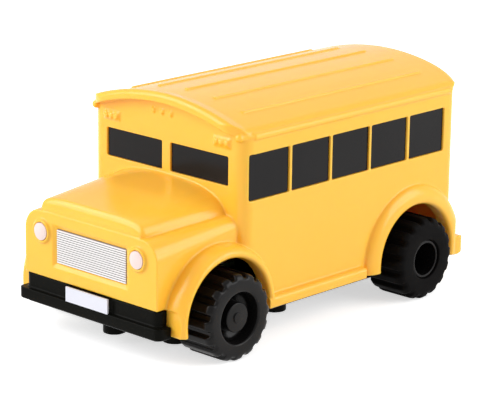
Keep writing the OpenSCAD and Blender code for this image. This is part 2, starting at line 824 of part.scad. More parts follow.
// Two round lenses with a slightly domed face
module headlight_lenses() {
    dome = 0.3;
    dome_r = (headlight_r * headlight_r + dome * dome) / (2 * dome);
    lens_h = headlight_depth + headlight_out;
    color(white) both_sides()
        translate([headlight_x, -nose_y + headlight_depth, headlight_z]) rotate([90, 0, 0])
            intersection() {
                cylinder(r = headlight_r, h = lens_h);
                translate([0, 0, lens_h - dome_r]) sphere(dome_r, $fn = 96);
            }
}

// Blank plate on its block
module front_plate() {
    color(white) translate([-plate_w / 2, -bumper_y, bumper_top])
        cube([plate_w, plate_t, panel_z - plate_gap - bumper_top]);
}

// Chassis

// Floor: full width between the wheels, narrow beside them
module chassis_floor() {
    well_gap = 1.6;
    rim_h = 2.6;
    mid_hw = inner_hw - shell_fit;
    well_hw = bearing_x - 0.3;
    well_y = wheel_r + well_gap;
    y0 = -band_end;
    y1 = tail_y - wall - shell_fit;
    half = [
        [nose_hw, y0], [nose_hw, front_y - well_y], [well_hw, front_y - well_y], [well_hw, front_y + well_y],
        [mid_hw, front_y + well_y], [mid_hw, rear_y - well_y], [well_hw, rear_y - well_y], [well_hw, y1]];
    translate([0, 0, floor_z]) linear_extrude(floor_t) polygon(mirrored(half));
    // Rim that locates the shell's side walls
    both_sides()
        translate([mid_hw - floor_t, front_y + well_y, floor_z])
            cube([floor_t, wheelbase - 2 * well_y, floor_t + rim_h]);
}

// Band, bumper bar and plate block across the nose
module chassis_nose() {
    translate([0, 0, floor_z]) linear_extrude(panel_z - band_fit - floor_z)
        round_plan(band_hw, -band_y, -band_end - band_fit, bumper_r, back = false);
    translate([0, 0, bumper_z]) linear_extrude(bumper_h)
        round_plan(bumper_hw, -bumper_y, -band_end - band_fit, bumper_r, back = false);
    translate([-plate_w / 2, -bumper_y + plate_t, bumper_z])
        cube([plate_w, bumper_y - plate_t - band_end - band_fit, panel_z - plate_gap - bumper_z]);
    // Joins the nose to the floor between the bonnet's sides
    translate([-nose_hw, -band_end - band_fit - eps, floor_z]) cube([2 * nose_hw, band_fit + 2 * eps, floor_t]);
}

// Upright walls that carry the axles, the idler pins and the motors
module chassis_bearings() {
    both_sides() {
        // Front axle
        translate([pan_in, front_y - bearing_post, pan_z])
            cube([floor_t, 2 * bearing_post, axle_z + bearing_r - pan_z]);
        rod(bearing_r, pan_in, bearing_x, front_y, axle_z);
        // Rear side wall and bearing
        translate([pan_in, gearbox_y0, pan_z]) cube([floor_t, gearbox_y1 - gearbox_y0, gearbox_top - pan_z]);
        rod(bearing_r, pan_in, bearing_x, rear_y, axle_z);
        // Inner post for the stub axle, and the rib for the idler pin
        translate([axle_post_x, rear_y - bearing_post, pan_z])
            cube([axle_post_t, 2 * bearing_post, axle_z + bearing_r - pan_z]);
        translate([pin_rib_x, idler_y - bearing_post, pan_z])
            cube([rib_t, 2 * bearing_post, idler_z + bearing_post - pan_z]);
        // Motor saddle
        difference() {
            translate([motor_x + 1, motor_y - motor_flat / 2 + 0.6, pan_z])
                cube([pan_in - motor_x - 1 + eps, motor_flat - 1.2, motor_z - motor_d / 2 + 1.2 - pan_z]);
            rod(motor_d / 2 + 0.05, motor_x, far, motor_y, motor_z);
        }
    }
    // Rear wall of the gearbox, with bosses for the cover's screws
    translate([-pan_hw, gearbox_y1 - floor_t, pan_z]) cube([2 * pan_hw, floor_t, gearbox_top - pan_z]);
    both_sides()
        translate([cover_screw_x, gearbox_y1 + cover_boss_r - floor_t, floor_z])
            cylinder(r = cover_boss_r, h = gearbox_top - floor_z);
}

// Box for the cells, open below, with the boss for the cover's screw
module battery_box() {
    difference() {
        union() {
            translate([-box_hw - box_t, -box_hl - box_t, pan_top])
                cube([2 * (box_hw + box_t), 2 * (box_hl + box_t), box_top + box_t - pan_top]);
            translate([0, battery_screw_y, pan_top]) cylinder(r = battery_boss_r, h = battery_boss_h);
        }
        translate([-box_hw, -box_hl, pan_top - 1]) cube([2 * box_hw, 2 * box_hl, box_top - pan_top + 1]);
        translate([0, battery_screw_y, pan_top - 1]) cylinder(r = small_screw_d / 2, h = small_screw_l + 0.5);
    }
}

module chassis() {
    pan_y0 = -pan_front_y;
    pan_y1 = tail_y - wall - shell_fit;
    color(black) difference() {
        union() {
            difference() {
                union() {
                    chassis_floor();
                    translate([-pan_hw, pan_y0, pan_z]) cube([2 * pan_hw, pan_y1 - pan_y0, floor_top - pan_z]);
                }
                translate([-pan_in, pan_y0 + floor_t, pan_top])
                    cube([2 * pan_in, pan_y1 - pan_y0 - 2 * floor_t, far]);
                // Opening for the battery cover
                translate([-cover_hw - cover_fit, cover_y0 - cover_fit, 0])
                    cube([2 * (cover_hw + cover_fit), cover_y1 - cover_y0 + 2 * cover_fit, pan_top]);
            }
            chassis_nose();
            chassis_bearings();
            battery_box();
            // Screw posts
            for (y = [-post_front_y, -post_mid_y], side = [-1, 1])
                translate([side * post_x, y, post_z]) cylinder(r = post_r, h = floor_top - post_z);
            // Sensor barrel and the board's standoffs
            translate([0, -sensor_y, post_z]) cylinder(r = sensor_r, h = sensor_top - post_z);
            for (y = [board_y0 + standoff_inset, board_y0 + board_l - standoff_inset], side = [-1, 1])
                let (z0 = y < -pan_front_y ? floor_z : pan_z)
                translate([side * standoff_x, y, z0]) cylinder(r = standoff_r, h = board_z - z0);
        }
        // Axle and pin bores
        rod(axle_r + run_fit, -far / 2, far / 2, front_y, axle_z);
        for (side = [-1, 1])
            on_side(side) {
                rod(axle_r + run_fit, axle_post_x - 1, far, rear_y, axle_z);
                rod(pin_r, pin_rib_x + rib_t - pin_seat, pan_in + pin_seat, idler_y, idler_z);
            }
        // Screw holes with sunk heads
        for (y = [-post_front_y, -post_mid_y], side = [-1, 1])
            translate([side * post_x, y, 0]) {
                cylinder(r = screw_d / 2 + 0.15, h = far);
                cylinder(r = screw_head_d / 2 + 0.15, h = screw_seat_z);
            }
        // Sensor bore
        translate([0, -sensor_y, 0]) cylinder(r = sensor_bore_r, h = far);
        // Pilots for the board and gearbox screws
        for (y = [board_y0 + standoff_inset, board_y0 + board_l - standoff_inset], side = [-1, 1])
            translate([side * standoff_x, y, board_z - small_screw_l + board_t - 0.5])
                cylinder(r = small_screw_d / 2, h = small_screw_l);
        both_sides()
            translate([cover_screw_x, gearbox_y1 + cover_boss_r - floor_t, gearbox_top - small_screw_l])
                cylinder(r = small_screw_d / 2, h = small_screw_l + 1);
        // Slot for the switch's knob
        translate([-knob_w / 2 - knob_fit, -switch_y - knob_slot_l / 2, 0])
            cube([knob_w + 2 * knob_fit, knob_slot_l, pan_top + 1]);
    }
}

screw_seat_z = floor_top - 2;

// A pan-head screw with its head down, its seat at the origin
module screw(d, head_d, head_h, length) {
    cylinder(r = d / 2, h = length);
    difference() {
        translate([0, 0, -head_h]) cylinder(r = head_d / 2, h = head_h);
        // Cross recess
        for (a = [0, 90])
            rotate(a) translate([-head_d / 3, -head_d / 12, -head_h - 1])
                cube([head_d * 2 / 3, head_d / 6, 1 + head_h / 2]);
    }
}

module shell_screws() {
    thread_end = floor_top - 1 + screw_l - 1;
    color(steel)
        for (y = [-post_front_y, -post_mid_y], side = [-1, 1])
            translate([side * post_x, y, screw_seat_z])
                screw(screw_d, screw_head_d, 1.4, thread_end - screw_seat_z);
}

// Cover under the cells, flush with the pan
module battery_cover() {
    grip_n = 4;
    grip_w = 8;
    color(black) difference() {
        translate([-cover_hw, cover_y0, pan_z]) cube([2 * cover_hw, cover_y1 - cover_y0, pan_t]);
        translate([0, battery_screw_y, 0]) cylinder(r = small_screw_d / 2 + 0.1, h = far);
        // Grip lines
        for (i = [0:grip_n - 1])
            translate([-grip_w / 2, cover_y0 + 2 + i * 1.4, pan_z - 1]) cube([grip_w, 0.6, 1.3]);
    }
}

module battery_cover_screw() {
    color(steel) translate([0, battery_screw_y, pan_z]) screw(small_screw_d, small_head_d, small_head_h, small_screw_l);
}

// Button cell with its can and its smaller insulated cap, axis along X
module button_cell(x) {
    cap_h = 0.6;
    color(steel) {
        rod(cell_d / 2, x - cell_h / 2, x + cell_h / 2 - cap_h, 0, cell_z);
        rod(cell_d / 2 - 1.2, x + cell_h / 2 - cap_h - eps, x + cell_h / 2, 0, cell_z);
    }
}
module left_button_cell() { button_cell(cell_h); }
module middle_button_cell() { button_cell(0); }
module right_button_cell() { button_cell(-cell_h); }

// Flat contact with a solder tab
module contact_plate(x0) {
    translate([x0, -3.2, pan_top + 1]) cube([contact_t, 6.4, box_top - pan_top - 2]);
}
module positive_contact() { color(brass) contact_plate(-cells_w / 2 - contact_t); }

// Contact with a pressed spring dimple
module negative_contact() {
    dimple_r = 1.6;
    color(brass) difference() {
        contact_plate(cells_w / 2);
        rod(dimple_r / 2, 0, far, 0, cell_z);
    }
}

module power_switch_body() {
    color(steel) difference() {
        translate([-switch_w / 2, -switch_y - switch_l / 2, pan_top]) cube([switch_w, switch_l, switch_h]);
        translate([-knob_w / 2 - knob_fit, -switch_y - knob_slot_l / 2, pan_top - 1])
            cube([knob_w + 2 * knob_fit, knob_slot_l, 1 + knob_in + knob_fit]);
    }
}

// Knob at the off end of its travel
module power_switch_knob() {
    color(black)
        translate([-knob_w / 2, -switch_y - knob_slot_l / 2 + knob_fit, knob_z])
            cube([knob_w, knob_l, pan_top + knob_in - knob_z]);
}

module circuit_board() {
    color(green) difference() {
        translate([-board_w / 2, board_y0, board_z]) cube([board_w, board_l, board_t]);
        for (y = [board_y0 + standoff_inset, board_y0 + board_l - standoff_inset], side = [-1, 1])
            translate([side * standoff_x, y, board_z - 1]) cylinder(r = small_screw_d / 2 + 0.1, h = board_t + 2);
    }
}

module board_screws() {
    color(steel)
        for (y = [board_y0 + standoff_inset, board_y0 + board_l - standoff_inset], side = [-1, 1])
            translate([side * standoff_x, y, board_z + board_t]) mirror([0, 0, 1])
                screw(small_screw_d, small_head_d, small_head_h, small_screw_l - 1);
}

// Controller under a drop of black resin
module controller_chip() {
    drop_r = 5;
    drop_h = 1.6;
    ball_r = (drop_r * drop_r + drop_h * drop_h) / (2 * drop_h);
    color(black) translate([0, board_y0 + board_l / 2, board_z + board_t])
        intersection() {
            cylinder(r = drop_r, h = drop_h);
            translate([0, 0, drop_h - ball_r]) sphere(ball_r, $fn = 96);
        }
}

// Infrared lamp or receiver: a round body with a domed end down, and two leads up to the board
module sensor_part(x) {
    r = sensor_d / 2;
    translate([x, -sensor_y, sensor_z]) {
        translate([0, 0, r]) sphere(r);
        translate([0, 0, r]) cylinder(r = r, h = sensor_h - r);
        for (side = [-1, 1])
            translate([0, side * 0.5, sensor_h - eps]) cylinder(r = lead_d / 2, h = board_z - sensor_z - sensor_h + eps);
    }
}
module infrared_emitter() { color(white) sensor_part(sensor_pitch / 2); }
module infrared_receiver() { color(black) sensor_part(-sensor_pitch / 2); }

// Gears

// Involute function, in degrees
function inv(a) = tan(a) * 180 / PI - a;
pressure = 20;

// Half the angle of a tooth at radius r
function tooth_half(z, shift, r) =
    let (rb = gear_m * z / 2 * cos(pressure), pitch_r = gear_m * z / 2)
    90 / z + 2 * shift * tan(pressure) / z * 180 / PI - backlash / 4 / pitch_r * 180 / PI
        + inv(pressure) - (r > rb ? inv(acos(rb / r)) : 0);

flank_n = 4;

// Outline of a spur gear with a tooth centred on the given direction
function gear_points(z, shift, turn) =
    let (
        rb = gear_m * z / 2 * cos(pressure),
        ra = gear_m * (z / 2 + gear_addendum + shift),
        rf = gear_m * (z / 2 - 1.25 + shift),
        r0 = max(rb, rf),
        radii = concat(rf < rb ? [rf] : [], [for (i = [0:flank_n]) r0 + (ra - r0) * i / flank_n]),
        last = len(radii) - 1)
    [for (t = [0:z - 1], i = [0:2 * last + 1])
        let (
            up = i <= last,
            r = radii[up ? i : 2 * last + 1 - i],
            a = turn + t * 360 / z + (up ? -1 : 1) * tooth_half(z, shift, r))
        [r * cos(a), r * sin(a)]];

// A gear on an axis along X
module gear(z, shift, turn, x0, t, y, zc, bore) {
    difference() {
        translate([x0, y, zc]) rotate([90, 0, 90]) linear_extrude(t) polygon(gear_points(z, shift, turn));
        rod(bore, x0 - 1, x0 + t + 1, y, zc);
    }
}

// Drive gear with a gap towards the idler
module drive_gear(side) {
    color(nylon) on_side(side)
        gear(drive_teeth, -gear_shift, idler_angle + 180 / drive_teeth, drive_x, drive_t, rear_y, axle_z, axle_r);
}
module left_drive_gear() { drive_gear(1); }
module right_drive_gear() { drive_gear(-1); }

// Compound idler: a small wheel with a tooth towards the drive gear, a large one with a gap towards the pinion
module idler_gear(side) {
    bore = pin_r + run_fit;
    small_x1 = drive_x + drive_t + 0.1;
    color(nylon) on_side(side) {
        gear(idler_teeth, -gear_shift, motor_angle + 180 / idler_teeth, idler_x, idler_t, idler_y, idler_z, bore);
        gear(pinion_teeth, gear_shift, idler_angle + 180, idler_x + idler_t - eps, small_x1 - idler_x - idler_t,
            idler_y, idler_z, bore);
    }
}
module left_idler_gear() { idler_gear(1); }
module right_idler_gear() { idler_gear(-1); }

module idler_pin(side) {
    color(steel) on_side(side)
        rod(pin_r, pin_rib_x + rib_t - pin_seat, pan_in + pin_seat, idler_y, idler_z);
}
module left_idler_pin() { idler_pin(1); }
module right_idler_pin() { idler_pin(-1); }

// Motor pinion with a tooth towards the idler
module motor_pinion(side) {
    color(brass) on_side(side)
        gear(pinion_teeth, gear_shift, motor_angle + 180, idler_x - 0.2, idler_t + 0.4, motor_y, motor_z, shaft_r);
}
module left_motor_pinion() { motor_pinion(1); }
module right_motor_pinion() { motor_pinion(-1); }

module motor_shaft(side) {
    color(steel) on_side(side) rod(shaft_r, idler_x - 0.4, motor_x + motor_l - 0.4, motor_y, motor_z);
}
module left_motor_shaft() { motor_shaft(1); }
module right_motor_shaft() { motor_shaft(-1); }

// Flat-sided motor, drawn between two places across the bus
module motor_blank(x0, x1) {
    difference() {
        intersection() {
            rod(motor_d / 2, x0, x1, motor_y, motor_z);
            translate([x0 - 1, motor_y - motor_flat / 2, 0]) cube([x1 - x0 + 2, motor_flat, far]);
        }
        rod(shaft_r + run_fit, x0 - 1, x1 + 1, motor_y, motor_z);
    }
}
motor_cap_t = 1.2;
module motor_can(side) {
    color(steel) on_side(side) motor_blank(motor_x, motor_x + motor_l - motor_cap_t);
}
module left_motor_can() { motor_can(1); }
module right_motor_can() { motor_can(-1); }

// End cap with two brush slots
module motor_cap(side) {
    x0 = motor_x + motor_l - motor_cap_t;
    color(nylon) on_side(side) difference() {
        motor_blank(x0, x0 + motor_cap_t);
        for (end = [-1, 1])
            translate([x0 + motor_cap_t / 2, motor_y - 1, motor_z + end * 3.6 - 0.5]) cube([motor_cap_t, 2, 1]);
    }
}
module left_motor_cap() { motor_cap(1); }
module right_motor_cap() { motor_cap(-1); }

// Plate over the gears and the motors, with a pad on each motor
module gearbox_cover() {
    y0 = motor_y - motor_flat / 2;
    y1 = gearbox_y1 + 2 * cover_boss_r - floor_t;
    motor_top = motor_z + motor_d / 2;
    color(black) difference() {
        union() {
            translate([-pan_hw, y0, gearbox_top]) cube([2 * pan_hw, y1 - y0, cover_t]);
            both_sides()
                translate([motor_x + 1, motor_y - 2.5, motor_top + 0.1])
                    cube([motor_l - 3, 5, gearbox_top - motor_top - 0.1 + eps]);
        }
        both_sides()
            translate([cover_screw_x, gearbox_y1 + cover_boss_r - floor_t, gearbox_top - 1])
                cylinder(r = small_screw_d / 2 + 0.1, h = cover_t + 2);
    }
}

module gearbox_screws() {
    color(steel) both_sides()
        translate([cover_screw_x, gearbox_y1 + cover_boss_r - floor_t, gearbox_top + cover_t]) mirror([0, 0, 1])
            screw(small_screw_d, small_head_d, small_head_h, small_screw_l);
}

// Wheels

module rear_axle(side) {
    color(steel) on_side(side) rod(axle_r, axle_post_x + 0.1, wheel_out - hub_bore_h, rear_y, axle_z);
}
module left_rear_axle() { rear_axle(1); }
module right_rear_axle() { rear_axle(-1); }

// The front wheels' bosses close over the ends of their axle
boss_x = wheel_out - 0.8;
axle_end = boss_x - 1;

module front_axle() {
    color(steel) rod(axle_r, -axle_end, axle_end, front_y, axle_z);
}

// A solid of revolution on an axle: the outline gives radius and distance from the centre plane
module turned(y, pts) {
    translate([0, y, axle_z]) rotate([0, 90, 0]) rotate_extrude($fn = 96) polygon(pts);
}

// Bars across the tread, one of them pointing straight down
module tread(y, r_in, x0, x1, shoulder) {
    intersection() {
        turned(y, concat([[r_in, x0], [wheel_r - shoulder, x0]],
            arc([wheel_r - shoulder, x0 + shoulder], shoulder, -90, 0, 6),
            arc([wheel_r - shoulder, x1 - shoulder], shoulder, 0, 90, 6), [[r_in, x1]]));
        translate([0, y, axle_z])
            for (i = [0:tread_bars - 1])
                rotate([i * 360 / tread_bars, 0, 0]) translate([x0, -bar_w / 2, -wheel_r])
                    cube([x1 - x0, bar_w, wheel_r - r_in]);
    }
}

// Hard front wheel: a dished face with a boss, and bars between two rims
module front_wheel(side) {
    core_r = wheel_r - bar_h;
    floor_x = wheel_out - dish_h;
    stub_r = 1.2;
    stub_h = 0.3;
    color(black) on_side(side) {
        turned(front_y, [[axle_r, wheel_in], [core_r - 0.4, wheel_in], [core_r, wheel_in + 0.4],
            [core_r, wheel_out - 0.5], [core_r - 0.5, wheel_out], [dish_r, wheel_out],
            [dish_r - 0.5, floor_x + 1.2], [boss_r, floor_x], [boss_r, boss_x - 0.3],
            [boss_r - 0.3, boss_x], [stub_r, boss_x], [stub_r, boss_x + stub_h], [0, boss_x + stub_h],
            [0, axle_end], [axle_r, axle_end]]);
        tread(front_y, core_r - 0.6, wheel_in + 0.5, wheel_out - 0.7, 0.8);
    }
}
module left_front_wheel() { front_wheel(1); }
module right_front_wheel() { front_wheel(-1); }

// Rear hub with a deep open bore and a raised ring at its mouth
module rear_hub(side) {
    hub_x = wheel_out - 0.4;
    color(black) on_side(side)
        turned(rear_y, [[axle_r, wheel_in + 0.3], [hub_r, wheel_in + 0.3], [hub_r, hub_x - 0.3],
            [hub_r - 0.3, hub_x], [hub_bore_r, hub_x], [hub_bore_r, wheel_out - hub_bore_h],
            [axle_r, wheel_out - hub_bore_h]]);
}
module left_rear_hub() { rear_hub(1); }
module right_rear_hub() { rear_hub(-1); }

// Rubber tyre with round shoulders and bars
module rear_tyre(side) {
    core_r = wheel_r - bar_h;
    round_r = 1.6;
    color(rubber) on_side(side) {
        turned(rear_y, concat([[hub_r, wheel_in], [core_r - round_r, wheel_in]],
            arc([core_r - round_r, wheel_in + round_r], round_r, -90, 0, 6),
            arc([core_r - round_r, wheel_out - round_r], round_r, 0, 90, 6), [[hub_r, wheel_out]]));
        tread(rear_y, core_r - 1.2, wheel_in + 0.2, wheel_out - 0.2, 1.8);
    }
}
module left_rear_tyre() { rear_tyre(1); }
module right_rear_tyre() { rear_tyre(-1); }

body_shell();
windscreen_panes();
left_side_windows();
right_side_windows();
rear_windows();
grille();
headlight_lenses();
front_plate();
chassis();
shell_screws();
battery_cover();
battery_cover_screw();
left_button_cell();
middle_button_cell();
right_button_cell();
positive_contact();
negative_contact();
power_switch_body();
power_switch_knob();
circuit_board();
board_screws();
controller_chip();
infrared_emitter();
infrared_receiver();
gearbox_cover();
gearbox_screws();
left_motor_can();
right_motor_can();
left_motor_cap();
right_motor_cap();
left_motor_shaft();
right_motor_shaft();
left_motor_pinion();
right_motor_pinion();
left_idler_pin();
right_idler_pin();
left_idler_gear();
right_idler_gear();
left_drive_gear();
right_drive_gear();
left_rear_axle();
right_rear_axle();
left_rear_hub();
right_rear_hub();
left_rear_tyre();
right_rear_tyre();
front_axle();
left_front_wheel();
right_front_wheel();
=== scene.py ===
"""Looks of the line-following toy bus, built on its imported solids. Metres, front towards -Y, +Z up."""
import json
import math

import bmesh
import bpy
import numpy as np
from mathutils import Matrix, Vector
from mathutils.kdtree import KDTree

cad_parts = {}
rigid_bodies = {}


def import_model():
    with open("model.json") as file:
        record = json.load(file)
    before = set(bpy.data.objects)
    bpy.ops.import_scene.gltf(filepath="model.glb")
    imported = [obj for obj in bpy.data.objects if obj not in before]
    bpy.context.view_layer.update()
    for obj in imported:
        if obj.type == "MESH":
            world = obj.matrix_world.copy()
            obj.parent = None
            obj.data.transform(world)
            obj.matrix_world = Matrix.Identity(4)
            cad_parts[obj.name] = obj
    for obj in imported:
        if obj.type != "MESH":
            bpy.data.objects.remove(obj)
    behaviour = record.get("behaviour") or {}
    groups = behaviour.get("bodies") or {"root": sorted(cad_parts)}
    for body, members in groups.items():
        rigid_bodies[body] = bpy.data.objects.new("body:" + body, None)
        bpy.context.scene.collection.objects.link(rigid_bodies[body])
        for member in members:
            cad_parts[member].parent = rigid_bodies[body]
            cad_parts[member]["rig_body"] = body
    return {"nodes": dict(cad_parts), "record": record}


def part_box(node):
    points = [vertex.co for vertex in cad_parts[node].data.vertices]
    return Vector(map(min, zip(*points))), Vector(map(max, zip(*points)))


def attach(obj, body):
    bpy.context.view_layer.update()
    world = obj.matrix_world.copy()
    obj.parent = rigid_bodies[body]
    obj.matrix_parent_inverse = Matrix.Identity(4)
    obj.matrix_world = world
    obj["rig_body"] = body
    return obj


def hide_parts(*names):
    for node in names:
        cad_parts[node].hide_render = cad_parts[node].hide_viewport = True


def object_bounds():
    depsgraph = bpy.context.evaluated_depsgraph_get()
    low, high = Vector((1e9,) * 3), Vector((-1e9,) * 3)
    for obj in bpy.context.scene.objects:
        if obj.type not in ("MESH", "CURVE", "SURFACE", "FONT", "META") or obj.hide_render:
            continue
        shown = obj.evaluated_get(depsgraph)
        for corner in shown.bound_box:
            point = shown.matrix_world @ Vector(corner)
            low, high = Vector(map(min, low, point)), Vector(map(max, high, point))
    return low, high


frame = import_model()
cad_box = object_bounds()
nodes = frame["nodes"]
slot_of = {part["node"]: part["material_slot"] for part in frame["record"]["subparts"]}
scene = bpy.context.scene
MM = 0.001


# Materials

class Shader:
    """One Principled material under construction, with object coordinates for its procedural detail."""

    def __init__(self, name, colour, roughness):
        self.material = bpy.data.materials.new(name)
        self.material.use_nodes = True
        self.tree = self.material.node_tree
        self.bsdf = self.tree.nodes["Principled BSDF"]
        self.bsdf.inputs["Base Color"].default_value = (*colour, 1)
        self.bsdf.inputs["Roughness"].default_value = roughness
        self.place = self.node("ShaderNodeTexCoord").outputs["Object"]
        self.colour = colour
        self.roughness = roughness

    def node(self, kind, **settings):
        made = self.tree.nodes.new(kind)
        for key, value in settings.items():
            setattr(made, key, value)
        return made

    def link(self, a, b):
        self.tree.links.new(a, b)

    def noise(self, size_mm, detail=3.0, stretch=(1, 1, 1)):
        """Noise whose blotches are about size_mm across, drawn out along each axis by stretch."""
        mapping = self.node("ShaderNodeMapping")
        mapping.inputs["Scale"].default_value = [1 / s for s in stretch]
        texture = self.node("ShaderNodeTexNoise")
        texture.inputs["Scale"].default_value = 1 / (size_mm * MM)
        texture.inputs["Detail"].default_value = detail
        self.link(self.place, mapping.inputs["Vector"])
        self.link(mapping.outputs["Vector"], texture.inputs["Vector"])
        return texture.outputs["Fac"]

    def spread(self, value, low, high, start=0.3, end=0.7):
        """Maps start to end of a value onto low to high. The defaults take the middle of a noise."""
        ramp = self.node("ShaderNodeMapRange")
        ramp.inputs["From Min"].default_value = start
        ramp.inputs["From Max"].default_value = end
        ramp.inputs["To Min"].default_value = low
        ramp.inputs["To Max"].default_value = high
        self.link(value, ramp.inputs["Value"])
        return ramp.outputs["Result"]

    def blend_colour(self, factor, other):
        """Takes the base colour towards another by the factor."""
        mix = self.node("ShaderNodeMix", data_type="RGBA")
        mix.inputs["A"].default_value = (*self.colour, 1)
        mix.inputs["B"].default_value = (*other, 1)
        self.link(factor, mix.inputs["Factor"])
        self.link(mix.outputs["Result"], self.bsdf.inputs["Base Color"])

    def vary_colour(self, noise, other, share=1.0):
        """Drifts the base colour towards another where the noise is high."""
        self.blend_colour(self.spread(noise, 0, share), other)

    def vary_roughness(self, noise, swing):
        varied = self.spread(noise, self.roughness - swing, self.roughness + swing)
        self.link(varied, self.bsdf.inputs["Roughness"])

    def bump(self, noise, height_mm):
        """Raises the surface by up to height_mm where the noise is high."""
        made = self.node("ShaderNodeBump")
        made.inputs["Distance"].default_value = height_mm * MM
        self.link(noise, made.inputs["Height"])
        self.link(made.outputs["Normal"], self.bsdf.inputs["Normal"])

    def set(self, **values):
        """Sets further sockets, named with underscores for spaces."""
        for key, value in values.items():
            self.bsdf.inputs[key.replace("_", " ")].default_value = value


def moulded(name, colour, other, roughness, grain_mm, grain_height_mm, **values):
    """Injection-moulded plastic: a slow drift of colour and gloss, and a fine grain from the mould."""
    made = Shader(name, colour, roughness)
    made.vary_colour(made.noise(size_mm=14, detail=2), other)
    made.vary_roughness(made.noise(size_mm=6, detail=4), swing=0.15 * roughness)
    made.bump(made.noise(grain_mm), grain_height_mm)
    made.set(**values)
    return made.material


def slatted(name, colour, painted_groove_shade, face_y, groove_mm):
    """Pale paint on the slats of an insert, with painted shade in the grooves behind the face, darker with depth.
    """
    made = Shader(name, colour, roughness=0.38)
    axes = made.node("ShaderNodeSeparateXYZ")
    made.link(made.place, axes.inputs["Vector"])
    # Painted shade: the colour darkens towards the groove's grey with depth behind the slats' face
    depth = made.spread(axes.outputs["Y"], 0, 1, face_y, face_y + groove_mm * MM)
    made.blend_colour(depth, painted_groove_shade)
    made.vary_roughness(made.noise(size_mm=1.5), swing=0.08)
    made.bump(made.noise(size_mm=0.4), height_mm=0.005)
    return made.material


def metal(name, colour, roughness, stretch):
    """Plated or drawn metal with fine lines along one axis."""
    made = Shader(name, colour, roughness)
    duller = tuple(0.82 * channel for channel in colour)
    made.vary_roughness(made.noise(size_mm=0.5, detail=4, stretch=stretch), swing=0.35 * roughness)
    made.vary_colour(made.noise(size_mm=3), duller, share=0.6)
    made.bump(made.noise(size_mm=0.25, stretch=stretch), height_mm=0.004)
    made.set(Metallic=1.0)
    return made.material


def rubber(name, colour, other):
    """Soft tyre rubber: dull, with a fine pebble and a little dust."""
    made = Shader(name, colour, roughness=0.5)
    made.vary_colour(made.noise(size_mm=5, detail=5), other, share=0.7)
    made.vary_roughness(made.noise(size_mm=2.5, detail=4), swing=0.09)
    made.bump(made.noise(size_mm=0.5, detail=4), height_mm=0.015)
    made.set(Specular_IOR_Level=0.03)
    return made.material


def circuit(name, colour, other):
    """Solder mask with a faint run of tracks under it."""
    made = Shader(name, colour, roughness=0.35)
    tracks = made.node("ShaderNodeTexBrick")
    tracks.inputs["Scale"].default_value = 260
    tracks.inputs["Mortar Size"].default_value = 0.06
    made.link(made.place, tracks.inputs["Vector"])
    made.vary_colour(tracks.outputs["Fac"], other, share=0.8)
    made.bump(tracks.outputs["Fac"], height_mm=0.03)
    made.set(Coat_Weight=0.3)
    return made.material


